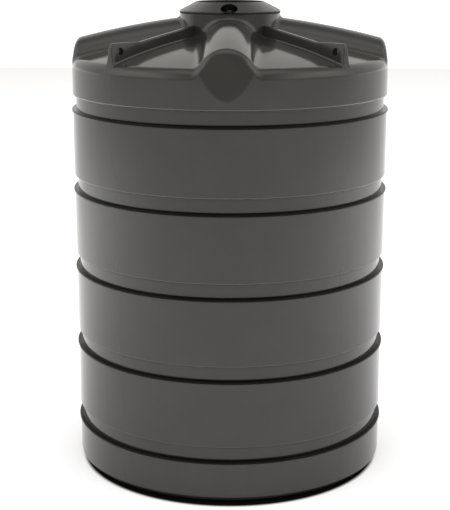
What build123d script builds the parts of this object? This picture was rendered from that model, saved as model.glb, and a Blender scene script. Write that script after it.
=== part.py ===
"""Round rotomoulded rainwater tank with a domed, four-humped roof and a screwed manhole cover.

Millimetres, +Z up, origin at the centre of the underside. The front of the tank faces -Y.
"""

import os
from math import atan2, cos, degrees, radians, sin, sqrt, tan

from build123d import *

os.makedirs("parts", exist_ok=True)

# Body
tank_radius = 725.0
wall = 8.0
base_edge_radius = 38.0

# Ring grooves, each over a shelf with a bead on its edge
groove_count = 5
first_shelf = 193.0
top_band = 225.5
groove_height = 62.0
groove_depth = 15.0
groove_lip = 3.0
bead_height = 12.0
bead_depth = 6.0
bead_bevel = 3.0

# Domed roof, an arc from the rim up to the neck
rim_height = 1892.5
rim_radius = 22.0
roof_rise = 101.5
roof_crown_radius = 3680.0

# Neck with its inward flange round the manhole
neck_radius = 228.0
neck_draft = 5.0
neck_foot_radius = 20.0
neck_height = 102.0
flange_thickness = 10.0
flange_width = 46.0

# Four half-round humps that follow the roof out to the wall, each with a flat, leaning pad in its end
hump_count = 4
hump_rise = 79.0
hump_radius = 120.0
hump_foot_radius = 16.0
hump_foot_sink = 4.0
hump_end_radius = 22.0
hump_overhang = 2.0
pad_lean = 4.4
pad_drop = 111.5
pad_frame = 17.0

# Four lifting ribs between the humps
rib_count = 4
rib_neck_rise = 52.0
lug_rise = 97.5
lug_length = 149.0
lug_setback = 19.0
lug_end_lean = 5.0
lug_end_radius = 16.0
rib_top_thickness = 26.0
rib_draft = 2.0
rib_foot_width = 10.0
rib_edge_radius = 6.0
eye_radius = 16.0
eye_setback = 65.0
eye_drop = 35.0

# Manhole seal, cover and its four screws
seal_thickness = 6.0
seal_inset = 6.0
seal_setback = 4.0
cover_height = 43.5
cover_skirt = 3.5
cover_run = 73.0
cover_wall = 5.0
cover_seat_width = 36.0
cover_edge_bevel = 1.5
cover_lip = 2.0
screw_count = 4
screw_inset = 24.0
pocket_radius = 37.5
pocket_floor = 6.0
screw_radius = 3.9
screw_head_radius = 10.0
screw_head_height = 4.0
screw_head_bevel = 1.5
socket_radius = 3.5
socket_depth = 2.5
hole_clearance = 0.6
washer_radius = 11.5
washer_thickness = 1.6
insert_radius = 7.0
insert_length = 20.0
insert_bore = 4.0
insert_fit = 0.05
boss_radius = 17.0
boss_floor = 5.0

# Strainer basket that hangs in the cover, and its mesh
seat_drop = 24.5
seat_width = 10.0
strainer_gap = 0.5
strainer_wall = 3.0
basket_depth = 105.0
basket_taper = 10.0
floor_hub_radius = 28.0
floor_edge = 6.0
floor_bar = 5.0
floor_rings = 3
floor_spokes = 12
mesh_thickness = 1.0

# Heights and places that follow from the sizes above
rim_to_neck = tank_radius - neck_radius
roof_chord = sqrt(rim_to_neck**2 + roof_rise**2)
crown_to_chord = sqrt(roof_crown_radius**2 - (roof_chord / 2) ** 2)
crown_x = (tank_radius + neck_radius) / 2 - crown_to_chord * roof_rise / roof_chord
crown_z = rim_height + roof_rise / 2 - crown_to_chord * rim_to_neck / roof_chord
crown_axis = Axis((crown_x, 0, crown_z), (0, 1, 0))
groove_pitch = (rim_height - top_band - first_shelf) / (groove_count - 1)
shelves = [first_shelf + i * groove_pitch for i in range(groove_count)]
pad_foot = rim_height - pad_drop
neck_top = rim_height + roof_rise + neck_height
rib_neck_height = rim_height + roof_rise + rib_neck_rise
lug_top = rim_height + lug_rise
lug_end = tank_radius - lug_setback
lug_start = lug_end - lug_end_radius - lug_length
eye_distance = tank_radius - eye_setback
eye_height = lug_top - eye_drop
manhole_radius = neck_radius - flange_width
seal_inner_radius = manhole_radius + seal_inset
screw_circle = neck_radius - screw_inset
cover_top_radius = neck_radius - cover_run
cover_foot = neck_top + seal_thickness
cover_top = cover_foot + cover_height
seat_height = cover_top - seat_drop
strainer_radius = cover_top_radius - cover_lip
basket_radius = strainer_radius - seat_width
basket_foot = seat_height - basket_depth
washer_seat = cover_foot + pocket_floor
rib_angle = 180.0 / rib_count
hump_root = neck_radius - hump_radius
hump_sweep_end = tank_radius + 4 * wall
hump_depth = hump_radius - hump_rise + 4 * wall
hump_centre = hump_rise - hump_radius
hump_end = tank_radius + hump_overhang
rim_foot = rim_height - rim_radius
pad_block_size = 4 * hump_radius
seam_angle = radians(rib_angle / 2)
seam_plane = Plane(
    origin=(0, 0, 0),
    x_dir=(cos(seam_angle), sin(seam_angle), 0),
    z_dir=(sin(seam_angle), -cos(seam_angle), 0),
)


def roof_height(distance, lift=0.0):
    """Height of the roof's arc, or of an arc lift above it, at a distance from the tank's axis."""
    return crown_z + sqrt((roof_crown_radius + lift) ** 2 - (distance - crown_x) ** 2)


def roof_point(distance, lift=0.0):
    """A point of that arc, as (distance, height)."""
    return (distance, roof_height(distance, lift))


def roof_plane(distance):
    """Plane across the roof's arc at a distance out along +X, with its y away from the arc's centre."""
    turn = atan2(roof_height(distance) - crown_z, distance - crown_x)
    outwards = Vector(cos(turn), 0, sin(turn))
    downhill = Vector(sin(turn), 0, -cos(turn))
    origin = Vector(crown_x, 0, crown_z) + outwards * roof_crown_radius
    return Plane(origin=origin, x_dir=outwards.cross(downhill), z_dir=downhill)


def roof_sweep(inner, outer):
    """Degrees round the arc's centre from one distance out to another."""
    first = atan2(roof_height(inner) - crown_z, inner - crown_x)
    last = atan2(roof_height(outer) - crown_z, outer - crown_x)
    return degrees(first - last)


def pad_plane(inset):
    """Plane of the leaning pad at the end of the hump on +X, moved inwards by inset."""
    lean = radians(pad_lean)
    normal = Vector(cos(lean), 0, sin(lean))
    return Plane(origin=Vector(tank_radius, 0, pad_foot) - normal * inset, x_dir=(0, 1, 0), z_dir=normal)


def body_profile(inset):
    """Half section of the body, moved inwards by inset; inset 0 is the outside, with its beads and radii."""
    side = tank_radius - inset
    neck = neck_radius - inset
    corner = base_edge_radius - inset
    with BuildSketch(seam_plane) as profile:
        with BuildLine():
            Line((0, inset), (side - corner, inset))
            if inset == 0:
                RadiusArc((side - corner, 0), (side, corner), -corner)
            else:
                Line((side - corner, inset), (side, inset + corner))
            height = inset + corner
            for shelf in shelves:
                floor = shelf - inset
                ceiling = shelf + groove_height + inset
                lip = groove_lip if inset == 0 else 0
                if inset == 0:
                    Polyline(
                        (side, height),
                        (side, floor - bead_height),
                        (side + bead_depth, floor - bead_height + bead_bevel),
                        (side + bead_depth, floor - bead_bevel),
                        (side, floor),
                    )
                else:
                    Line((side, height), (side, floor))
                Polyline(
                    (side, floor),
                    (side - groove_depth, floor),
                    (side - groove_depth, ceiling),
                    (side - lip, ceiling),
                )
                if lip:
                    Line((side - lip, ceiling), (side, ceiling + lip))
                height = ceiling + lip
            Line((side, height), roof_point(side, -inset))
            ThreePointArc(
                roof_point(side, -inset),
                roof_point((side + neck) / 2, -inset),
                roof_point(neck + neck_draft, -inset),
            )
            ceiling = neck_top if inset == 0 else neck_top - flange_thickness
            Polyline(roof_point(neck + neck_draft, -inset), (neck, ceiling), (0, ceiling), (0, inset))
        make_face()
        if inset == 0:
            rim = profile.vertices().sort_by_distance((side, roof_height(side)))[0]
            fillet(rim, rim_radius)
            foot = profile.vertices().sort_by_distance(roof_point(neck + neck_draft))[0]
            fillet(foot, neck_foot_radius)
    return profile.sketch


def hump_section():
    """Section across a hump's outside: an arc on flared feet that sink just under the roof."""
    foot_centre = hump_foot_radius - hump_foot_sink
    reach = hump_radius + hump_foot_radius
    half_width = sqrt(reach**2 - (foot_centre - hump_centre) ** 2)
    share = hump_radius / reach
    join = (half_width * share, hump_centre + (foot_centre - hump_centre) * share)
    with BuildSketch(roof_plane(hump_root)) as section:
        with BuildLine():
            Polyline(
                (-half_width, -hump_foot_sink),
                (-half_width, -hump_depth),
                (half_width, -hump_depth),
                (half_width, -hump_foot_sink),
            )
            RadiusArc((half_width, -hump_foot_sink), join, hump_foot_radius)
            ThreePointArc(join, (0, hump_rise), (-join[0], join[1]))
            RadiusArc((-join[0], join[1]), (-half_width, -hump_foot_sink), hump_foot_radius)
        make_face()
    return section.sketch


def hollow_section():
    """Section across the hollow inside a hump: an arc on straight sides."""
    radius = hump_radius - wall
    with BuildSketch(roof_plane(hump_root)) as section:
        with BuildLine():
            Polyline(
                (-radius, hump_centre),
                (-radius, -hump_depth),
                (radius, -hump_depth),
                (radius, hump_centre),
            )
            ThreePointArc((radius, hump_centre), (0, hump_rise - wall), (-radius, hump_centre))
        make_face()
    return section.sketch


def beyond_pad(inset):
    """Block of everything beyond the pad on +X."""
    with BuildPart() as block:
        with BuildSketch(pad_plane(inset)):
            Rectangle(pad_block_size, 2 * pad_block_size)
        extrude(amount=pad_block_size)
    return block.part


# The hump on +X, rounded off just outside the wall, and the hollow inside it
hump_arc = roof_sweep(hump_root, hump_sweep_end)
with BuildPart() as hump:
    revolve(hump_section(), axis=crown_axis, revolution_arc=hump_arc)
    Cylinder(hump_end, cover_top, align=(Align.CENTER, Align.CENTER, Align.MIN), mode=Mode.INTERSECT)
    end_edges = hump.faces().filter_by(GeomType.CYLINDER).sort_by(Axis.X)[-1].edges()
    fillet(end_edges.filter_by(lambda edge: edge.center().Z > rim_height), hump_end_radius)
    with Locations((tank_radius, 0, rim_foot)):
        Box(
            4 * rim_radius,
            pad_block_size,
            pad_block_size,
            align=(Align.CENTER, Align.CENTER, Align.MAX),
            mode=Mode.SUBTRACT,
        )

inner_radius = tank_radius - wall
with BuildPart() as hump_hollow:
    revolve(hollow_section(), axis=crown_axis, revolution_arc=hump_arc)
    add(beyond_pad(wall), mode=Mode.SUBTRACT)
    Cylinder(inner_radius, cover_top, align=(Align.CENTER, Align.CENTER, Align.MIN), mode=Mode.INTERSECT)

# The cut that sets the flat, round-topped pad into the end of the hump on +X and the wall below it
arch_radius = hump_radius - pad_frame
arch_rise = (roof_height(tank_radius, hump_rise) - hump_radius - pad_foot) / cos(radians(pad_lean))
with BuildPart() as pad_cut:
    with BuildSketch(pad_plane(0)):
        with Locations((0, arch_rise)):
            Circle(arch_radius)
            Rectangle(2 * arch_radius, 2 * pad_drop, align=(Align.CENTER, Align.MAX))
    extrude(amount=4 * wall)

# The rib on +X, a drafted blade on a flared foot, trimmed to its side view and pierced by the lifting eye
rib_root = neck_radius - 2 * wall
rib_foot_sink = 0.5
rib_height = 2 * (rib_neck_height - roof_height(neck_radius))
rib_half_top = rib_top_thickness / 2
rib_half_foot = rib_half_top + rib_height * tan(radians(rib_draft))
rib_flare = rib_half_foot + rib_foot_width
rib_base = rim_height - 4 * wall
with BuildPart() as rib:
    with BuildSketch(roof_plane(rib_root)):
        with BuildLine():
            Polyline(
                (rib_flare, -4 * wall),
                (rib_flare, -rib_foot_sink),
                (rib_half_foot, rib_foot_width),
                (rib_half_top, rib_height + rib_foot_width),
                (-rib_half_top, rib_height + rib_foot_width),
                (-rib_half_foot, rib_foot_width),
                (-rib_flare, -rib_foot_sink),
                (-rib_flare, -4 * wall),
                close=True,
            )
        make_face()
    revolve(axis=crown_axis, revolution_arc=roof_sweep(rib_root, tank_radius))
    with BuildSketch(Plane.XZ):
        with BuildLine():
            Polyline(
                (lug_end, lug_top - lug_end_radius),
                roof_point(lug_end + lug_end_lean),
                (lug_end + lug_end_lean, rib_base),
                (rib_root, rib_base),
                (rib_root, rib_neck_height),
                (neck_radius, rib_neck_height),
                (lug_start, lug_top),
                (lug_end - lug_end_radius, lug_top),
            )
            RadiusArc((lug_end - lug_end_radius, lug_top), (lug_end, lug_top - lug_end_radius), lug_end_radius)
        make_face()
    extrude(amount=hump_radius, both=True, mode=Mode.INTERSECT)
    rib_edges = rib.edges().filter_by(lambda edge: edge.center().Z > lug_top - eye_radius)
    fillet(rib_edges.filter_by(lambda edge: abs(edge.center().Y) > 1), rib_edge_radius)
    with Locations(Plane(origin=(eye_distance, 0, eye_height), z_dir=(0, 1, 0))):
        Hole(eye_radius)

# Tank shell: one moulding, its outside less the cavity, with screw bosses hung under the neck's flange
with BuildPart() as outside:
    revolve(body_profile(0), axis=Axis.Z)
    for place in PolarLocations(0, rib_count, start_angle=rib_angle):
        add(rib.part.moved(place))
    for place in PolarLocations(0, hump_count):
        add(hump.part.moved(place))
    with PolarLocations(0, hump_count):
        add(pad_cut.part, mode=Mode.SUBTRACT)

with BuildPart() as cavity:
    revolve(body_profile(wall), axis=Axis.Z)
    with PolarLocations(0, hump_count):
        add(beyond_pad(wall), mode=Mode.SUBTRACT)
    with PolarLocations(0, hump_count):
        add(hump_hollow.part)

boss_length = insert_length + boss_floor
with BuildPart() as tank_shell:
    add(outside.part)
    add(cavity.part, mode=Mode.SUBTRACT)
    with BuildSketch(Plane.XY.offset(neck_top - boss_length)):
        with PolarLocations(screw_circle, screw_count):
            Circle(boss_radius)
    extrude(amount=boss_length)
    with BuildSketch(Plane.XY.offset(neck_top)):
        Circle(manhole_radius)
    extrude(amount=-2 * boss_length, mode=Mode.SUBTRACT)
    with BuildSketch(Plane.XY.offset(neck_top)):
        with PolarLocations(screw_circle, screw_count):
            Circle(insert_radius + insert_fit)
    extrude(amount=-insert_length, mode=Mode.SUBTRACT)
tank_shell.part.label = "tank_shell"
export_step(tank_shell.part, "parts/tank_shell.step")

# Thread inserts, moulded into the bosses
with BuildPart() as insert:
    with BuildSketch(Plane.XY.offset(neck_top)):
        Circle(insert_radius)
        Circle(insert_bore, mode=Mode.SUBTRACT)
    extrude(amount=-insert_length)

# Manhole seal: a flat rubber ring with holes for the screws
seal_hole_radius = screw_radius + 2 * hole_clearance
with BuildPart() as manhole_seal:
    with BuildSketch(Plane.XY.offset(neck_top)):
        Circle(neck_radius - seal_setback)
        Circle(seal_inner_radius, mode=Mode.SUBTRACT)
        with PolarLocations(screw_circle, screw_count):
            Circle(seal_hole_radius, mode=Mode.SUBTRACT)
    extrude(amount=seal_thickness)
manhole_seal.part.label = "manhole_seal"
export_step(manhole_seal.part, "parts/manhole_seal.step")

# Manhole cover: a hollow cone with a stepped opening and four screw pockets
cone_drop = cover_height - cover_skirt
cone_run = neck_radius - cover_top_radius
cone_slope = cone_drop / cone_run
ceiling_drop = cover_wall * sqrt(1 + cone_slope**2)
collar_radius = basket_radius + strainer_gap + cover_wall
hollow_outer = neck_radius - cover_seat_width


def cone_height(distance):
    """Height of the cover's cone at a distance from the tank's axis."""
    return cover_top - (distance - cover_top_radius) * cone_slope


with BuildPart() as manhole_cover:
    with BuildSketch(Plane.XZ) as cover_profile:
        with BuildLine():
            Polyline(
                (basket_radius + strainer_gap, cover_foot),
                (neck_radius, cover_foot),
                (neck_radius, cover_foot + cover_skirt),
                (cover_top_radius, cover_top),
                (strainer_radius + strainer_gap, cover_top),
                (strainer_radius + strainer_gap, seat_height),
                (basket_radius + strainer_gap, seat_height),
                close=True,
            )
        make_face()
        skirt = cover_profile.vertices().sort_by_distance((neck_radius, cover_foot + cover_skirt))[0]
        chamfer(skirt, cover_edge_bevel)
    revolve(axis=Axis.Z)
    with BuildSketch(Plane.XZ):
        with BuildLine():
            Polyline(
                (collar_radius, cover_foot),
                (hollow_outer, cover_foot),
                (hollow_outer, cone_height(hollow_outer) - ceiling_drop),
                (strainer_radius + cover_wall, cone_height(strainer_radius + cover_wall) - ceiling_drop),
                (strainer_radius + cover_wall, seat_height - cover_wall),
                (collar_radius, seat_height - cover_wall),
                close=True,
            )
        make_face()
    revolve(axis=Axis.Z, mode=Mode.SUBTRACT)
    with BuildPart(mode=Mode.PRIVATE) as housings:
        with BuildSketch(Plane.XY.offset(cover_foot)):
            with PolarLocations(screw_circle, screw_count):
                Circle(pocket_radius + cover_wall)
        extrude(amount=cover_height)
        revolve(cover_profile.sketch, axis=Axis.Z, mode=Mode.INTERSECT)
    add(housings.part)
    with BuildSketch(Plane.XY.offset(washer_seat)):
        with PolarLocations(screw_circle, screw_count):
            Circle(pocket_radius)
    extrude(amount=cover_height, mode=Mode.SUBTRACT)
    with BuildSketch(Plane.XY.offset(cover_foot)):
        with PolarLocations(screw_circle, screw_count):
            Circle(screw_radius + hole_clearance)
    extrude(amount=pocket_floor, mode=Mode.SUBTRACT)
manhole_cover.part.label = "manhole_cover"
export_step(manhole_cover.part, "parts/manhole_cover.step")

# Washer and screw of one pocket, on the tank's axis until they are placed
with BuildPart() as washer:
    with BuildSketch(Plane.XY.offset(washer_seat)):
        Circle(washer_radius)
        Circle(screw_radius + hole_clearance, mode=Mode.SUBTRACT)
    extrude(amount=washer_thickness)

head_seat = washer_seat + washer_thickness
shank_end = neck_top - insert_length + 2 * hole_clearance
with BuildPart() as screw:
    with BuildSketch(Plane.XY.offset(head_seat)):
        Circle(screw_head_radius)
    extrude(amount=screw_head_height)
    chamfer(screw.edges().filter_by(GeomType.CIRCLE).group_by(Axis.Z)[-1], screw_head_bevel)
    with BuildSketch(Plane.XY.offset(head_seat + screw_head_height)):
        RegularPolygon(socket_radius, 6)
    extrude(amount=-socket_depth, mode=Mode.SUBTRACT)
    with BuildSketch(Plane.XY.offset(head_seat)):
        Circle(screw_radius)
    extrude(amount=shank_end - head_seat)

for number, place in enumerate(PolarLocations(screw_circle, screw_count), start=1):
    for kind, piece in (("thread_insert", insert), ("cover_washer", washer), ("cover_screw", screw)):
        placed = piece.part.moved(place)
        placed.label = f"{kind}_{number}"
        export_step(placed, f"parts/{kind}_{number}.step")

# Strainer basket: a stepped, tapered cup with a grille of rings and spokes for its floor
floor_rim = basket_radius - basket_taper
basket_inner_foot = floor_rim - strainer_wall
floor_open_radius = basket_inner_foot - floor_edge
ring_step = (floor_open_radius - floor_hub_radius) / (floor_rings + 1)
with BuildPart() as strainer_basket:
    with BuildSketch(Plane.XZ):
        with BuildLine():
            Polyline(
                (0, basket_foot),
                (floor_rim, basket_foot),
                (basket_radius, seat_height),
                (strainer_radius, seat_height),
                (strainer_radius, cover_top - strainer_gap),
                (strainer_radius - strainer_wall, cover_top - strainer_gap),
                (strainer_radius - strainer_wall, seat_height + strainer_wall),
                (basket_radius - strainer_wall, seat_height + strainer_wall),
                (basket_inner_foot, basket_foot + strainer_wall),
                (0, basket_foot + strainer_wall),
                close=True,
            )
        make_face()
    revolve(axis=Axis.Z)
    with BuildSketch(Plane.XY.offset(basket_foot)):
        Circle(floor_open_radius)
        for ring in range(floor_rings, 0, -1):
            ring_radius = floor_hub_radius + ring * ring_step
            Circle(ring_radius + floor_bar / 2, mode=Mode.SUBTRACT)
            Circle(ring_radius - floor_bar / 2)
        Circle(floor_hub_radius, mode=Mode.SUBTRACT)
        with PolarLocations(0, floor_spokes):
            Rectangle(basket_radius, floor_bar, align=(Align.MIN, Align.CENTER), mode=Mode.SUBTRACT)
    extrude(amount=strainer_wall, mode=Mode.SUBTRACT)
strainer_basket.part.label = "strainer_basket"
export_step(strainer_basket.part, "parts/strainer_basket.step")

# Mesh disc on the basket's floor
with BuildPart() as mesh_screen:
    with BuildSketch(Plane.XY.offset(basket_foot + strainer_wall)):
        Circle(basket_inner_foot - strainer_gap)
    extrude(amount=mesh_thickness)
mesh_screen.part.label = "mesh_screen"
export_step(mesh_screen.part, "parts/mesh_screen.step")
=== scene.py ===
import math

import bmesh
import bpy
import numpy as np
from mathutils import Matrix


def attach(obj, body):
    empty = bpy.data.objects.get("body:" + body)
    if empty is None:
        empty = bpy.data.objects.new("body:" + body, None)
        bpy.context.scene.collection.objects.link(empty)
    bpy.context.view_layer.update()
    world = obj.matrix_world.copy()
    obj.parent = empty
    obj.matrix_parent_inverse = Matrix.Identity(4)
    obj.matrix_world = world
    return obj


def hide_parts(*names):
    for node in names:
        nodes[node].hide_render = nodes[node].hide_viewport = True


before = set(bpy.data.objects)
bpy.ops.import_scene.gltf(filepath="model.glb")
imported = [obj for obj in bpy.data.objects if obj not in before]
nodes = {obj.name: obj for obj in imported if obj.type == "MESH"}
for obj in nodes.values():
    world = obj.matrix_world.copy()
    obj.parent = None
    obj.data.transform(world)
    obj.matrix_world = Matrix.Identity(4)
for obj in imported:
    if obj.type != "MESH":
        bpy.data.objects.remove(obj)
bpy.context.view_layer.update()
scene = bpy.context.scene

# Sizes of the tank in millimetres, with +Z up and the front facing -Y
WALL_R, BASE_EDGE = 725.0, 28.0
SPLIT_Z = 1765.0

# Ring grooves in the wall, each over a shelf with a bead
SHELVES = [193.0 + 368.5 * i for i in range(5)]
GROOVE_HEIGHT, GROOVE_DEPTH, GROOVE_EDGE = 62.0, 15.0, 3.0
LIP_EDGE = 8.0
BEAD, BEAD_FOOT_EDGE, BEAD_EDGE = 6.0, 1.4, 4.6

# Roof and neck
RIM_Z, RIM_RADIUS = 1892.5, 36.0
CROWN_R, ROOF_RISE = 3680.0, 101.5
NECK_R, NECK_FOOT_R, NECK_TOP = 229.5, 229.7, 2096.0
NECK_FILLET, NECK_EDGE = 18.0, 3.0
MANHOLE_R, MANHOLE_DEPTH = 182.0, 10.0

# Humps and the pads that end them
HUMP_RISE, HUMP_R, HUMP_FILLET, HUMP_END_RADIUS = 79.0, 130.0, 28.0, 24.0
HUMP_CORE, HUMP_ZONE = 60.0, 150.0
PAD_LEAN, PAD_FOOT, PAD_BLEND = math.radians(4.4), 1781.0, 1.5

# Lifting ribs
RIB_NECK_Z, LUG_TOP, LUG_START, LUG_END = 2046.0, 1990.0, 541.0, 706.0
LUG_LEAN, LUG_CORNER = 5.0, 16.0
RIB_TOP_HALF, RIB_DRAFT, RIB_FLARE, RIB_EDGE = 9.5, math.radians(8.2), 8.0, 4.5
RIB_FOOT_SINK, RIB_ROOT = 0.5, 20.0
EYE_R, EYE_X, EYE_Z = 16.0, 660.0, 1955.0

# Cover with its screw pockets, and the seal under it
COVER_R, COVER_FOOT, COVER_TOP, COVER_SKIRT = 232.0, 2102.0, 2145.5, 4.0
COVER_TOP_R, COVER_MOUTH_R, COVER_HOLE_R, COVER_STEP = 156.0, 153.5, 145.0, 24.5
COVER_FOOT_EDGE, COVER_EDGE, COVER_MOUTH_EDGE = 0.8, 1.5, 1.0
SCREW_CIRCLE, POCKET_R, POCKET_FLOOR = 204.0, 37.5, 2108.0
SEAL_INNER_R, SEAL_FOOT, SEAL_TOP, SEAL_INSET, SEAL_EDGE = 188.0, 2095.0, 2102.3, 1.0, 1.0
MESH_PITCH, MESH_WIRE = 4.0, 1.2


def crown():
    """Centre of the roof's arc, through the rim's corner and the neck's foot."""
    run = WALL_R - NECK_R
    chord = math.hypot(run, ROOF_RISE)
    back = math.sqrt(CROWN_R ** 2 - (chord / 2) ** 2)
    return (WALL_R + NECK_R) / 2 - back * ROOF_RISE / chord, RIM_Z + ROOF_RISE / 2 - back * run / chord


CROWN_X, CROWN_Z = crown()


def roof_z(rho):
    """Height of the roof's arc at a distance from the tank's axis."""
    return CROWN_Z + np.sqrt(CROWN_R ** 2 - (rho - CROWN_X) ** 2)


NECK_SLOPE = (NECK_FOOT_R - NECK_R) / (NECK_TOP - roof_z(NECK_R))


def join(a, b, radius):
    """Distance field of two solids together, with a fillet where they meet."""
    u, v = np.maximum(radius - a, 0), np.maximum(radius - b, 0)
    return np.maximum(radius, np.minimum(a, b)) - np.hypot(u, v)


def cross(a, b, radius):
    """Distance field of what two solids share, with a rounded edge where they meet."""
    u, v = np.maximum(radius + a, 0), np.maximum(radius + b, 0)
    return np.minimum(-radius, np.maximum(a, b)) + np.hypot(u, v)


def fade(value, start, end):
    """Smooth share from 0 at start to 1 at end."""
    t = np.clip((value - start) / (end - start), 0, 1)
    return t * t * (3 - 2 * t)


def top_field(x, y, z):
    """Distance above the roof with its humps."""
    rho = np.hypot(x, y)
    u, v = np.maximum(abs(x), abs(y)), np.minimum(abs(x), abs(y))
    roof = np.hypot(rho - CROWN_X, z - CROWN_Z) - CROWN_R
    lift = np.hypot(u - CROWN_X, z - CROWN_Z) - CROWN_R
    hump = np.hypot(v, lift - (HUMP_RISE - HUMP_R)) - HUMP_R
    return join(roof, hump, HUMP_FILLET)


def side_field(x, y, z):
    """Distance outside the wall and the flat pads that lean into it at the ends of the humps."""
    wall = np.hypot(x, y) - WALL_R
    u = np.maximum(abs(x), abs(y))
    pad = (u - WALL_R) * math.cos(PAD_LEAN) + (z - PAD_FOOT) * math.sin(PAD_LEAN)
    blend = np.maximum(PAD_BLEND - abs(wall - pad), 0)
    return np.maximum(wall, pad) + blend ** 2 / (4 * PAD_BLEND)


def body_field(x, y, z):
    """Distance outside the tank's skin, without its ring grooves and ribs."""
    v = np.minimum(abs(x), abs(y))
    rim = RIM_RADIUS + (HUMP_END_RADIUS - RIM_RADIUS) * fade(v, HUMP_ZONE, HUMP_CORE)
    body = cross(top_field(x, y, z), side_field(x, y, z), rim)
    neck = (np.hypot(x, y) - NECK_R - (NECK_TOP - z) * NECK_SLOPE) / math.hypot(1, NECK_SLOPE)
    return join(body, cross(neck, z - NECK_TOP, NECK_EDGE), NECK_FILLET)


def field_normals(points, step=0.4):
    """Outward normals of the skin at points on it, from the field's slope."""
    normals = np.empty_like(points)
    for axis in range(3):
        shift = np.zeros(3)
        shift[axis] = step
        normals[:, axis] = body_field(*(points + shift).T) - body_field(*(points - shift).T)
    return normals / np.linalg.norm(normals, axis=1, keepdims=True)


# Columns of the tank's grid: lines of equal y on a hump, then an even spread up to the rib
HUMP_COLUMNS = np.concatenate([np.linspace(0, HUMP_CORE, 14)[:-1], np.linspace(HUMP_CORE, HUMP_ZONE, 23)])
PANEL_STEPS = 13
OCTANT = len(HUMP_COLUMNS) + PANEL_STEPS - 1
COLUMNS = np.arange(8 * OCTANT)


def octant_angle(k, rho):
    """Angle from the hump's line of column k at a distance from the axis."""
    rho = np.maximum(rho, NECK_R)
    edge = np.arcsin(HUMP_ZONE / rho)
    last = len(HUMP_COLUMNS) - 1
    hump = np.arcsin(HUMP_COLUMNS[np.minimum(k, last)] / rho)
    share = np.maximum(k - last, 0) / PANEL_STEPS
    return np.where(k <= last, hump, edge + (math.pi / 4 - edge) * share)


def plan(rho):
    """The x and y of every column at a distance from the axis."""
    quarter, k = COLUMNS // (2 * OCTANT), COLUMNS % (2 * OCTANT)
    flip = k > OCTANT
    angle = octant_angle(np.where(flip, 2 * OCTANT - k, k), rho)
    angle = np.where(flip, math.pi / 2 - angle, angle) + quarter * math.pi / 2 - math.pi / 2
    return rho * np.cos(angle), rho * np.sin(angle)


def cast(rho, z, tilt, reach, halvings=34):
    """Ring of points where rays from inside meet the skin: one a column, some degrees above level."""
    run, rise = math.cos(math.radians(tilt)), math.sin(math.radians(tilt))
    low, high = np.zeros(COLUMNS.shape), np.full(COLUMNS.shape, float(reach))
    for _ in range(halvings):
        mid = (low + high) / 2
        outside = body_field(*plan(rho + run * mid), z + rise * mid) > 0
        high, low = np.where(outside, mid, high), np.where(outside, low, mid)
    mid = (low + high) / 2
    return np.stack([*plan(rho + run * mid), z + rise * mid], axis=1)


def shares(steps):
    """Even shares from just over 0 up to 1."""
    return np.linspace(0, 1, steps + 1)[1:]


def rounded(corners, arc_step=22.0):
    """Points and outward normals along a section with rounded corners, given as (r, z, radius)."""
    points, normals = [], []
    for i, (r, z, radius) in enumerate(corners):
        here = np.array([r, z])
        before = here - np.array(corners[i - 1][:2]) if i else None
        after = np.array(corners[i + 1][:2]) - here if i + 1 < len(corners) else None
        d0 = before / np.linalg.norm(before) if before is not None else None
        d1 = after / np.linalg.norm(after) if after is not None else None
        if radius == 0 or d0 is None or d1 is None:
            d = d1 if d0 is None else d0
            points.append(here)
            normals.append(np.array([d[1], -d[0]]))
            continue
        turn = math.atan2(d0[0] * d1[1] - d0[1] * d1[0], d0 @ d1)
        back = radius * math.tan(abs(turn) / 2)
        side = 1 if turn > 0 else -1
        centre = here - d0 * back + side * radius * np.array([-d0[1], d0[0]])
        steps = max(3, round(math.degrees(abs(turn)) / arc_step))
        for s in range(steps + 1):
            c, k = math.cos(turn * s / steps), math.sin(turn * s / steps)
            d = np.array([d0[0] * c - d0[1] * k, d0[0] * k + d0[1] * c])
            outward = np.array([d[1], -d[0]])
            points.append(centre + side * radius * outward)
            normals.append(outward)
    return np.array(points), np.array(normals)


def mesh_object(name, verts, faces, normals=None, mat=None):
    """A smooth-shaded object from points in metres."""
    mesh = bpy.data.meshes.new(name)
    mesh.from_pydata([tuple(v) for v in verts], [], faces)
    mesh.validate()
    mesh.polygons.foreach_set("use_smooth", [True] * len(mesh.polygons))
    if normals is not None:
        mesh.normals_split_custom_set_from_vertices([tuple(n) for n in normals])
    mesh.update()
    o = bpy.data.objects.new(name, mesh)
    scene.collection.objects.link(o)
    if mat:
        mesh.materials.append(mat)
    return o


def smooth_object(name, verts, faces, mat, angle):
    """A mesh whose flat faces stay flat: smooth below an angle, weighted by face area."""
    o = mesh_object(name, verts, faces, None, mat)
    o.data.set_sharp_from_angle(angle=math.radians(angle))
    weighted = o.modifiers.new("weighted", "WEIGHTED_NORMAL")
    weighted.keep_sharp = True
    weighted.weight = 100
    return o


def ring_faces(rings, count):
    """Quads between rings of count points each."""
    faces = []
    for i in range(rings - 1):
        a, b = i * count, (i + 1) * count
        for j in range(count):
            k = (j + 1) % count
            faces.append((a + j, a + k, b + k, b + j))
    return faces


def turned(name, corners, mat, count=192):
    """A ring turned from a closed section of (r, z, radius) corners."""
    section, _ = rounded(corners, 30.0)
    angles = np.arange(count) * 2 * math.pi / count
    c, s = np.cos(angles), np.sin(angles)
    verts = np.concatenate([np.stack([r * c, r * s, np.full(count, z)], axis=1) for r, z in section])
    faces = ring_faces(len(section), count)
    last = (len(section) - 1) * count
    faces += [(last + j, last + (j + 1) % count, (j + 1) % count, j) for j in range(count)]
    return mesh_object(name, verts * 0.001, faces, None, mat)


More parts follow.
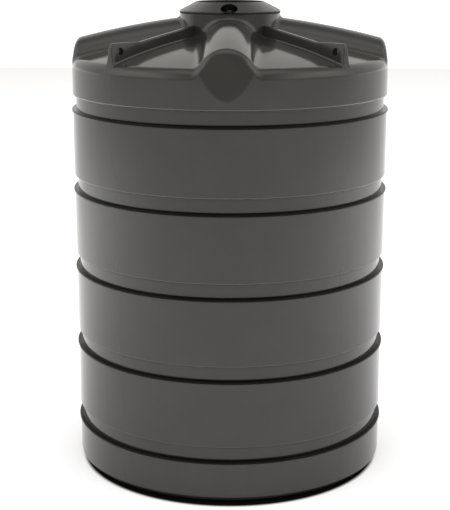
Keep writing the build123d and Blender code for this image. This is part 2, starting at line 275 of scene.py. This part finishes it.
def drilled(blank, sides, radius, depth, places):
    """Points and faces of a blank with round holes cut into it, at (location, rotation) places, in metres."""
    drills = []
    for location, rotation in places:
        bpy.ops.mesh.primitive_cylinder_add(
            vertices=sides, radius=radius, depth=depth, location=location, rotation=rotation
        )
        drills.append(bpy.context.object)
        cut = blank.modifiers.new("hole", "BOOLEAN")
        cut.operation = "DIFFERENCE"
        cut.solver = "EXACT"
        cut.object = drills[-1]
    depsgraph = bpy.context.evaluated_depsgraph_get()
    holed = bpy.data.meshes.new_from_object(blank.evaluated_get(depsgraph))
    for o in drills + [blank]:
        bpy.data.objects.remove(o)
    return [tuple(v.co) for v in holed.vertices], [tuple(f.vertices) for f in holed.polygons]


# Shader nodes
NOISE_LOW, NOISE_HIGH = 0.3, 0.7


def math_node(nt, operation, *values):
    """A math node on sockets or numbers."""
    node = nt.nodes.new("ShaderNodeMath")
    node.operation = operation
    for socket, value in zip(node.inputs, values):
        if isinstance(value, (int, float)):
            socket.default_value = value
        else:
            nt.links.new(value, socket)
    return node.outputs[0]


def map_range(nt, value, start, end, low=0.0, high=1.0, smooth=False):
    """A value taken from start and end to low and high, and held there beyond them."""
    node = nt.nodes.new("ShaderNodeMapRange")
    node.interpolation_type = "SMOOTHSTEP" if smooth else "LINEAR"
    for name, number in (("From Min", start), ("From Max", end), ("To Min", low), ("To Max", high)):
        node.inputs[name].default_value = number
    nt.links.new(value, node.inputs["Value"])
    return node.outputs["Result"]


def length(nt, a, b):
    """Distance of the point (a, b) from the middle."""
    squares = [math_node(nt, "MULTIPLY", c, c) for c in (a, b)]
    return math_node(nt, "SQRT", math_node(nt, "ADD", *squares))


def place(nt):
    """The x, y and z of a point on the piece, in metres."""
    split = nt.nodes.new("ShaderNodeSeparateXYZ")
    nt.links.new(nt.nodes.new("ShaderNodeTexCoord").outputs["Object"], split.inputs["Vector"])
    return split.outputs["X"], split.outputs["Y"], split.outputs["Z"]


def noise(nt, coords, scale, detail, rough, stretch=None):
    """Soft noise, drawn out along an axis where stretch is under 1."""
    tex = nt.nodes.new("ShaderNodeTexNoise")
    tex.inputs["Scale"].default_value = scale
    tex.inputs["Detail"].default_value = detail
    tex.inputs["Roughness"].default_value = rough
    if stretch:
        mapping = nt.nodes.new("ShaderNodeMapping")
        mapping.inputs["Scale"].default_value = stretch
        nt.links.new(coords, mapping.inputs["Vector"])
        coords = mapping.outputs["Vector"]
    nt.links.new(coords, tex.inputs["Vector"])
    return tex.outputs["Fac"]


def ramp(nt, fac, low, high):
    """A colour between two, by noise."""
    node = nt.nodes.new("ShaderNodeValToRGB")
    stops = ((NOISE_LOW, low), (NOISE_HIGH, high))
    for element, (position, colour) in zip(node.color_ramp.elements, stops):
        element.position = position
        element.color = (*colour, 1)
    nt.links.new(fac, node.inputs["Fac"])
    return node.outputs["Color"]


def bump(nt, height, distance, base=None):
    """A normal tilted by a height map, over another normal where there is one."""
    node = nt.nodes.new("ShaderNodeBump")
    node.inputs["Strength"].default_value = 1.0
    node.inputs["Distance"].default_value = distance
    nt.links.new(height, node.inputs["Height"])
    if base:
        nt.links.new(base, node.inputs["Normal"])
    return node.outputs["Normal"]


def material(name, low, high, rough, metallic=0.0, ior=1.5, grain=400.0, grain_depth=0.00003, wave_depth=0.0):
    """A finish with cloudy colour and sheen, fine grain and, where wave_depth is set, a slow wave."""
    mat = bpy.data.materials.new(name)
    mat.use_nodes = True
    nt = mat.node_tree
    shader = nt.nodes["Principled BSDF"]
    coords = nt.nodes.new("ShaderNodeTexCoord").outputs["Object"]
    colour = ramp(nt, noise(nt, coords, 6.0, 5.0, 0.6), low, high)
    sheen = map_range(nt, noise(nt, coords, 13.8, 4.0, 0.55), NOISE_LOW, NOISE_HIGH, *rough)
    nt.links.new(colour, shader.inputs["Base Color"])
    nt.links.new(sheen, shader.inputs["Roughness"])
    shader.inputs["Metallic"].default_value = metallic
    shader.inputs["IOR"].default_value = ior
    normal = None
    if wave_depth:
        normal = bump(nt, noise(nt, coords, 2.2, 1.0, 0.4, stretch=(1.0, 1.0, 0.35)), wave_depth)
    normal = bump(nt, noise(nt, coords, grain, 2.0, 0.5), grain_depth, base=normal)
    nt.links.new(normal, shader.inputs["Normal"])
    return mat


def shade(mat, *masks):
    """Scale a material's colour and sheen where masks are 1, from (mask, scale) pairs."""
    nt = mat.node_tree
    shader = nt.nodes["Principled BSDF"]
    colour = shader.inputs["Base Color"].links[0].from_socket
    keep = 1.0
    for mask, scale in masks:
        keep = math_node(nt, "MULTIPLY_ADD", mask, scale - 1.0, keep)
    scaled = nt.nodes.new("ShaderNodeVectorMath")
    scaled.operation = "SCALE"
    nt.links.new(colour, scaled.inputs["Vector"])
    nt.links.new(keep, scaled.inputs["Scale"])
    nt.links.new(scaled.outputs["Vector"], shader.inputs["Base Color"])
    nt.links.new(math_node(nt, "MULTIPLY", keep, 0.5), shader.inputs["Specular IOR Level"])


def painted_ring_mask(nt, height, half, soft):
    """1 in a narrow band at a height on every ring of the wall, fading out at its sides."""
    _, _, z = place(nt)
    pitch = (SHELVES[1] - SHELVES[0]) / 1000
    away = math_node(nt, "PINGPONG", math_node(nt, "SUBTRACT", z, height / 1000), pitch / 2)
    near = map_range(nt, away, (half + soft) / 1000, half / 1000, smooth=True)
    return math_node(nt, "MULTIPLY", near, math_node(nt, "LESS_THAN", z, SPLIT_Z / 1000))


def pocket_mask(nt, margin=0.3):
    """1 inside the four screw pockets of the cover, where the colour is darkened as painted shade."""
    x, y, _ = place(nt)
    x, y = math_node(nt, "ABSOLUTE", x), math_node(nt, "ABSOLUTE", y)
    along = math_node(nt, "SUBTRACT", math_node(nt, "MAXIMUM", x, y), SCREW_CIRCLE / 1000)
    away = length(nt, along, math_node(nt, "MINIMUM", x, y))
    return math_node(nt, "LESS_THAN", away, (POCKET_R + margin) / 1000)


def weave_mask(nt):
    """1 in the open squares between the wires of the mesh."""
    x, y, _ = place(nt)
    waves = [math_node(nt, "PINGPONG", c, MESH_PITCH / 2000) for c in (x, y)]
    gaps = [math_node(nt, "GREATER_THAN", wave, MESH_WIRE / 2000) for wave in waves]
    return math_node(nt, "MULTIPLY", *gaps)


# Materials: the darkest and lightest colour in linear light, and the least and most roughness
tank_mat = material(
    "tank_plastic", (0.0200, 0.0191, 0.0172), (0.0236, 0.0226, 0.0204), (0.10, 0.15),
    grain=260.0, grain_depth=0.00004, wave_depth=0.004,
)
cover_mat = material(
    "cover_plastic", (0.0190, 0.0182, 0.0166), (0.0225, 0.0216, 0.0197), (0.16, 0.22),
    grain=320.0, grain_depth=0.00004,
)
# Painted shade: near-black colour for the bores of the rib eyes
bore_painted_shade_mat = material(
    "bore_painted_shade", (0.0015, 0.0015, 0.0015), (0.003, 0.003, 0.003), (0.7, 0.8), ior=1.2, grain=900.0
)
basket_mat = material(
    "basket_plastic", (0.003, 0.003, 0.003), (0.005, 0.005, 0.005), (0.38, 0.5), ior=1.45, grain=500.0
)
rubber_mat = material(
    "seal_rubber", (0.004, 0.004, 0.004), (0.007, 0.007, 0.007), (0.6, 0.75), ior=1.4, grain=900.0
)
steel_mat = material(
    "mesh_steel", (0.22, 0.22, 0.215), (0.30, 0.30, 0.29), (0.35, 0.45), metallic=1.0, grain=700.0
)
screw_mat = material("black_steel", (0.004, 0.004, 0.004), (0.007, 0.007, 0.007), (0.5, 0.6), grain=900.0)
brass_mat = material(
    "insert_brass", (0.50, 0.36, 0.14), (0.62, 0.45, 0.2), (0.25, 0.35), metallic=1.0, grain=900.0
)

# Painted shade as a dark line along each bead and a painted highlight as a light one on the lip over each
# groove, as height over the shelf, half width, soft width and scale of the colour
PAINTED_RING_LINES = ((-4.0, 5.0, 6.0, 0.15), (GROOVE_HEIGHT + 3.0, 2.0, 3.0, 1.7))
# Scale of the colour for painted shade inside the cover's screw pockets, and for the mesh's open squares
POCKET_PAINTED_SHADE, WEAVE_SHADE = 0.1, 0.03
tank_painted_lines = [
    (painted_ring_mask(tank_mat.node_tree, SHELVES[0] + height, half, soft), scale)
    for height, half, soft, scale in PAINTED_RING_LINES
]
shade(tank_mat, *tank_painted_lines)
shade(cover_mat, (pocket_mask(cover_mat.node_tree), POCKET_PAINTED_SHADE))
shade(steel_mat, (weave_mask(steel_mat.node_tree), WEAVE_SHADE))


def turn_rings(rings, normals, rho, section, section_normals):
    """Add plain rings for a section's points, on the columns as they run at distance rho."""
    x, y = plan(np.full(COLUMNS.shape, rho))
    x, y = x / rho, y / rho
    for (r, z), (nr, nz) in zip(section, section_normals):
        rings.append(np.stack([x * r, y * r, np.full(x.shape, z)], axis=1))
        normals.append(np.stack([x * nr, y * nr, np.full(x.shape, nz)], axis=1))


def roof_rings():
    """Rings of the roof, from the wall's top over the rim to the neck's top edge."""
    # The wall's top and the rim, seen from a pivot that follows the rim all the way round
    inside_z, roof_probe, wall_probe, probe_drop = 1700.0, 655.0, 600.0, 38.0
    pivot_inset, pivot_drop = 36.0, 42.0
    wall_start = 500.0
    top = cast(roof_probe, inside_z, 90, 400)[:, 2]
    edge = cast(wall_probe, top - probe_drop, 0, 200)
    rim_rho, rim_z = np.hypot(edge[:, 0], edge[:, 1]) - pivot_inset, top - pivot_drop
    rings = [cast(wall_start, SPLIT_Z + (rim_z - SPLIT_Z) * share, 0, 300) for share in shares(30)]
    rings += [cast(rim_rho, rim_z, 90 * share, 200) for share in shares(24)]

    # The roof up to the neck's fillet, seen from below, and the fillet
    roof_reach, fillet_reach = 385.0, 90.0
    foot_rho = NECK_R + NECK_EDGE + NECK_FILLET
    roof = cast(foot_rho + 6, inside_z, 90, roof_reach)[:, 2]
    foot_z = np.minimum(roof + NECK_FILLET, NECK_TOP - 7)
    rings += [cast(rim_rho + (foot_rho - rim_rho) * share, inside_z, 90, roof_reach) for share in shares(24)]
    for share in shares(10):
        turn = math.radians(90 * share)
        start = foot_rho - fillet_reach * math.sin(turn), foot_z - fillet_reach * math.cos(turn)
        rings.append(cast(*start, 90 - 90 * share, fillet_reach))

    # The neck's side and its top edge
    neck_start, edge_inset = 150.0, 5.0
    edge_rho, edge_z = NECK_R - edge_inset, NECK_TOP - edge_inset
    rings += [cast(neck_start, foot_z + (edge_z - foot_z) * share, 0, 120) for share in shares(5)]
    rings += [cast(edge_rho, edge_z, 90 * share, 30) for share in shares(6)]
    return rings


def make_tank():
    """Outer skin of the tank: the ringed wall as a turned section, and the roof cast onto its joined form."""
    corners = [(1.0, 0, 0), (WALL_R, 0, BASE_EDGE)]
    for shelf in SHELVES:
        ceiling = shelf + GROOVE_HEIGHT
        outer, inner = WALL_R + BEAD, WALL_R - GROOVE_DEPTH
        corners += [
            (WALL_R, shelf - 2 * BEAD, BEAD_FOOT_EDGE),
            (outer, shelf - 2 * BEAD, BEAD_EDGE),
            (outer, shelf, BEAD_EDGE),
            (inner, shelf, GROOVE_EDGE),
            (inner, ceiling, GROOVE_EDGE),
            (WALL_R, ceiling, LIP_EDGE),
        ]
    corners.append((WALL_R, SPLIT_Z, 0))
    rings, normals = [], []
    turn_rings(rings, normals, WALL_R, *rounded(corners))
    for ring in roof_rings():
        rings.append(ring)
        normals.append(field_normals(ring))
    manhole = [(MANHOLE_R + 1, NECK_TOP), (MANHOLE_R, NECK_TOP - 1), (MANHOLE_R, NECK_TOP - MANHOLE_DEPTH)]
    turn_rings(rings, normals, NECK_R, manhole, [(0, 1), (-1, 0), (-1, 0)])
    faces = ring_faces(len(rings), len(COLUMNS))
    faces.append(tuple(reversed(range(len(COLUMNS)))))
    return mesh_object("tank_body", np.concatenate(rings) * 0.001, faces, np.concatenate(normals), tank_mat)


def rib_section(height):
    """Half section of a rib as (offset, height over the roof), from its flared foot to its crest."""
    draft = math.tan(RIB_DRAFT)
    points = []
    for s in range(7):
        a = math.pi / 2 * s / 6
        h = -RIB_FOOT_SINK + RIB_FLARE * (1 - math.cos(a))
        points.append((RIB_TOP_HALF + (height - h) * draft + RIB_FLARE * (1 - math.sin(a)), h))
    flank = points[-1][1]
    for share in (0.04, 0.35, 0.65, 0.96):
        h = flank + (height - RIB_EDGE - flank) * share
        points.append((RIB_TOP_HALF + (height - h) * draft, h))
    for s in range(5):
        a = math.pi / 2 * s / 4
        h = height - RIB_EDGE * (1 - math.sin(a))
        points.append((RIB_TOP_HALF + (height - h) * draft - RIB_EDGE * (1 - math.cos(a)), h))
    points.append((0, height))
    return np.array(points)


def crest_z(x):
    """Height of a rib's crest: down from the neck, level along the lug, and round its outer corner."""
    if x < LUG_START:
        return LUG_TOP + (RIB_NECK_Z - LUG_TOP) * (LUG_START - x) / (LUG_START - NECK_R)
    past = max(x - (LUG_END - LUG_CORNER), 0)
    return LUG_TOP - LUG_CORNER + math.sqrt(max(LUG_CORNER ** 2 - past ** 2, 0))


def rib_row(x, grown):
    """Closed section of a rib at x, grown past its end face by the rounding of that face's edges."""
    inset = RIB_EDGE - math.sqrt(max(RIB_EDGE ** 2 - grown ** 2, 0))
    foot, crest = roof_z(x), crest_z(x)
    end = fade(x, LUG_END - LUG_CORNER, LUG_END)
    row = []
    for d, h in rib_section(crest - foot):
        z = foot + h
        lean = end * LUG_LEAN * (LUG_TOP - z) / (LUG_TOP - foot)
        top = z - inset * fade(h, 0, crest - foot)
        row.append((x - RIB_EDGE * end + lean + grown, max(d - inset, 0.0), top))
    row.insert(0, (row[0][0], row[0][1], row[0][2] - RIB_ROOT))
    return row + [(px, -d, z) for px, d, z in reversed(row[:-1])]


def make_ribs():
    """Four lifting ribs, each a lofted blade on flared feet with rounded edges and an eye."""
    stations = [(x, 0.0) for x in (214, 230, 300, 380, 460, 520, 532, 538, 541, 544, 550, 570, 610, 640, 672)]
    for degrees in range(0, 91, 10):
        stations.append((LUG_END - LUG_CORNER * (1 - math.sin(math.radians(degrees))), 0.0))
    for degrees in range(15, 91, 15):
        stations.append((LUG_END, RIB_EDGE * math.sin(math.radians(degrees))))
    rows = [rib_row(x, grown) for x, grown in stations]
    count = len(rows[0])
    faces = ring_faces(len(rows), count)
    faces.append(tuple(range(count)))
    last = (len(rows) - 1) * count
    faces.append(tuple(range(last + count - 1, last - 1, -1)))
    blade = mesh_object("rib_blade", np.concatenate(rows) * 0.001, faces, None, tank_mat)
    bm = bmesh.new()
    bm.from_mesh(blade.data)
    bmesh.ops.recalc_face_normals(bm, faces=bm.faces)
    bm.to_mesh(blade.data)
    bm.free()
    eye = (EYE_X / 1000, 0, EYE_Z / 1000), (math.pi / 2, 0, 0)
    blade_verts, blade_faces = drilled(blade, 64, EYE_R / 1000, 0.2, [eye])

    verts, faces = [], []
    for n in range(4):
        angle = math.radians(45 + 90 * n)
        c, s = math.cos(angle), math.sin(angle)
        start = len(verts)
        verts += [(x * c - y * s, x * s + y * c, z) for x, y, z in blade_verts]
        faces += [[start + i for i in face] for face in blade_faces]
    o = smooth_object("tank_ribs", verts, faces, tank_mat, 35.0)

    # The eyes' bores get their own near-black material: painted shade on the tank's plastic
    o.data.materials.append(bore_painted_shade_mat)
    x, y, z = (1000 * np.array([v.co for v in o.data.vertices])).T
    off_bore = abs(np.hypot((abs(x) + abs(y)) * math.sqrt(0.5) - EYE_X, z - EYE_Z) - EYE_R)
    for polygon in o.data.polygons:
        if off_bore[list(polygon.vertices)].max() < 0.3:
            polygon.material_index = 1
    return o


def make_cover():
    """The cover's cone with rounded edges and its four screw pockets."""
    step_z = COVER_TOP - COVER_STEP
    blank = turned("cover_blank", [
        (COVER_HOLE_R, COVER_FOOT, 0),
        (COVER_R, COVER_FOOT, COVER_FOOT_EDGE),
        (COVER_R, COVER_FOOT + COVER_SKIRT, COVER_EDGE),
        (COVER_TOP_R, COVER_TOP, COVER_EDGE),
        (COVER_MOUTH_R, COVER_TOP, COVER_MOUTH_EDGE),
        (COVER_MOUTH_R, step_z, 0),
        (COVER_HOLE_R, step_z, 0),
    ], cover_mat)
    pockets = []
    for n in range(4):
        a = n * math.pi / 2
        x, y = SCREW_CIRCLE * math.cos(a) / 1000, SCREW_CIRCLE * math.sin(a) / 1000
        pockets.append(((x, y, (POCKET_FLOOR + 50) / 1000), (0, 0, 0)))
    verts, faces = drilled(blank, 72, POCKET_R / 1000, 0.1, pockets)
    return smooth_object("cover_cone", verts, faces, cover_mat, 30.0)


def make_seal():
    """The rubber ring between the neck and the cover."""
    outer = COVER_R - SEAL_INSET
    o = turned("seal_ring", [
        (SEAL_INNER_R, SEAL_FOOT, 0),
        (outer, SEAL_FOOT, SEAL_EDGE),
        (outer, SEAL_TOP, SEAL_EDGE),
        (SEAL_INNER_R, SEAL_TOP, 0),
    ], rubber_mat)
    o.data.set_sharp_from_angle(angle=math.radians(40))
    return o


tank = make_tank()
ribs = make_ribs()
cover = make_cover()
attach(cover, "root")
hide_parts("manhole_cover")
seal = make_seal()
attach(seal, "root")
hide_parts("manhole_seal")
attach(ribs, "root")
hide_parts("tank_shell")
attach(tank, "root")
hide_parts("tank_shell")

# CAD nodes that stay
finishes = {"strainer_basket": basket_mat, "mesh_screen": steel_mat}
for number in range(1, 5):
    finishes[f"cover_screw_{number}"] = screw_mat
    finishes[f"cover_washer_{number}"] = screw_mat
    finishes[f"thread_insert_{number}"] = brass_mat
for name, mat in finishes.items():
    for slot in nodes[name].material_slots:
        slot.material = mat

# Pale floor, with a painted contact shadow under the tank a little towards the camera, in metres
FLOOR_SIZE, FLOOR_WHITE = 40.0, 0.86
SHADOW_R, SHADOW_SHIFT, SHADOW_DARK = 0.70, 0.058, 0.004
SHADOW_START, SHADOW_END = SHADOW_R - 0.01, SHADOW_R + 0.015
bpy.ops.mesh.primitive_plane_add(size=FLOOR_SIZE)
floor = bpy.context.object
floor.name = "floor"
floor_mat = bpy.data.materials.new("floor_white")
floor_mat.use_nodes = True
floor.data.materials.append(floor_mat)
floor_nt = floor_mat.node_tree
floor_shader = floor_nt.nodes["Principled BSDF"]
floor_x, floor_y, _ = place(floor_nt)
from_shadow = length(floor_nt, floor_x, math_node(floor_nt, "ADD", floor_y, SHADOW_SHIFT))
floor_with_painted_shadow = map_range(floor_nt, from_shadow, SHADOW_START, SHADOW_END, SHADOW_DARK, FLOOR_WHITE, smooth=True)
floor_nt.links.new(floor_with_painted_shadow, floor_shader.inputs["Base Color"])
floor_shader.inputs["Roughness"].default_value = 0.9
floor_shader.inputs["Specular IOR Level"].default_value = 0.0

# The room: a dim band along the front horizon, a bright ceiling, and a back wall that darkens upwards.
# Stops are (sine of the elevation, brightness)
SKY_TINT = (1.0, 0.990, 0.955)
SKY_STRENGTH = 1.9
FRONT_STOPS = ((-1.0, 0.20), (0.72, 0.24), (0.97, 0.72), (1.0, 0.72))
SIDE_STOPS = ((-1.0, 0.20), (0.0, 0.30), (0.15, 0.70), (0.60, 0.95), (1.0, 0.95))
BACK_STOPS = ((-1.0, 0.72), (0.0, 0.72), (0.12, 0.47), (0.60, 0.48), (0.80, 0.20), (0.97, 0.20))
BACK_FROM, BACK_TO = -0.10, 0.32
SIDE_FROM, SIDE_TO = 0.45, 0.75


def sky_ramp(nt, height, stops):
    """Brightness by the sine of the elevation."""
    node = nt.nodes.new("ShaderNodeValToRGB")
    elements = node.color_ramp.elements
    for _ in stops[2:]:
        elements.new(0.5)
    for element, (sine, value) in zip(elements, stops):
        element.position = (sine + 1) / 2
        element.color = (*(value * tint for tint in SKY_TINT), 1)
    nt.links.new(map_range(nt, height, -1.0, 1.0), node.inputs["Fac"])
    return node.outputs["Color"]


def mix(nt, share, a, b):
    """The colour a where share is 0 and b where it is 1."""
    node = nt.nodes.new("ShaderNodeMix")
    node.data_type = "RGBA"
    for name, socket in (("Factor", share), ("A", a), ("B", b)):
        nt.links.new(socket, node.inputs[name])
    return node.outputs["Result"]


world = bpy.data.worlds.new("studio")
scene.world = world
world.use_nodes = True
sky = world.node_tree
direction = sky.nodes.new("ShaderNodeSeparateXYZ")
sky.links.new(sky.nodes.new("ShaderNodeTexCoord").outputs["Generated"], direction.inputs["Vector"])
front, side, back = (
    sky_ramp(sky, direction.outputs["Z"], stops) for stops in (FRONT_STOPS, SIDE_STOPS, BACK_STOPS)
)
sideways = map_range(sky, math_node(sky, "ABSOLUTE", direction.outputs["X"]), SIDE_FROM, SIDE_TO)
backward = map_range(sky, direction.outputs["Y"], BACK_FROM, BACK_TO)
background = sky.nodes["Background"]
background.inputs["Strength"].default_value = SKY_STRENGTH
sky.links.new(mix(sky, backward, mix(sky, sideways, front, side), back), background.inputs["Color"])

# Boxes of soft light that brighten the floor, on both sides of the tank and overhead:
# size in metres, watts and place
SOFT_BOXES = (
    ("side_box", 6.0, 230.0, (-6.0, 0.5, 3.5)),
    ("side_box", 6.0, 230.0, (6.0, 0.5, 3.5)),
    ("top_box", 40.0, 3300.0, (0.0, -4.0, 12.0)),
)
for name, size, power, at in SOFT_BOXES:
    data = bpy.data.lights.new(name, "AREA")
    data.size = size
    data.energy = power
    box = bpy.data.objects.new(name, data)
    box.location = at
    box.visible_glossy = False
    box.visible_camera = False
    scene.collection.objects.link(box)

# Camera at the photo's angle
CAMERA_DISTANCE, CAMERA_HEIGHT, CAMERA_LENS = 6.0327, 2.3993, 91.5
CAMERA_TURN, CAMERA_DOWN, CAMERA_ASIDE = math.radians(1.11), 13.491, math.radians(0.2175)
camera_data = bpy.data.cameras.new("camera")
camera = bpy.data.objects.new("camera", camera_data)
scene.collection.objects.link(camera)
camera_data.lens = CAMERA_LENS
camera_data.sensor_width = 36.0
camera_data.clip_start = 0.1
camera_data.clip_end = 200
camera_x, camera_y = math.sin(CAMERA_TURN), -math.cos(CAMERA_TURN)
camera.location = (CAMERA_DISTANCE * camera_x, CAMERA_DISTANCE * camera_y, CAMERA_HEIGHT)
camera.rotation_euler = (math.radians(90 - CAMERA_DOWN), 0, CAMERA_ASIDE + CAMERA_TURN)
scene.camera = camera
scene.view_settings.view_transform = "Standard"
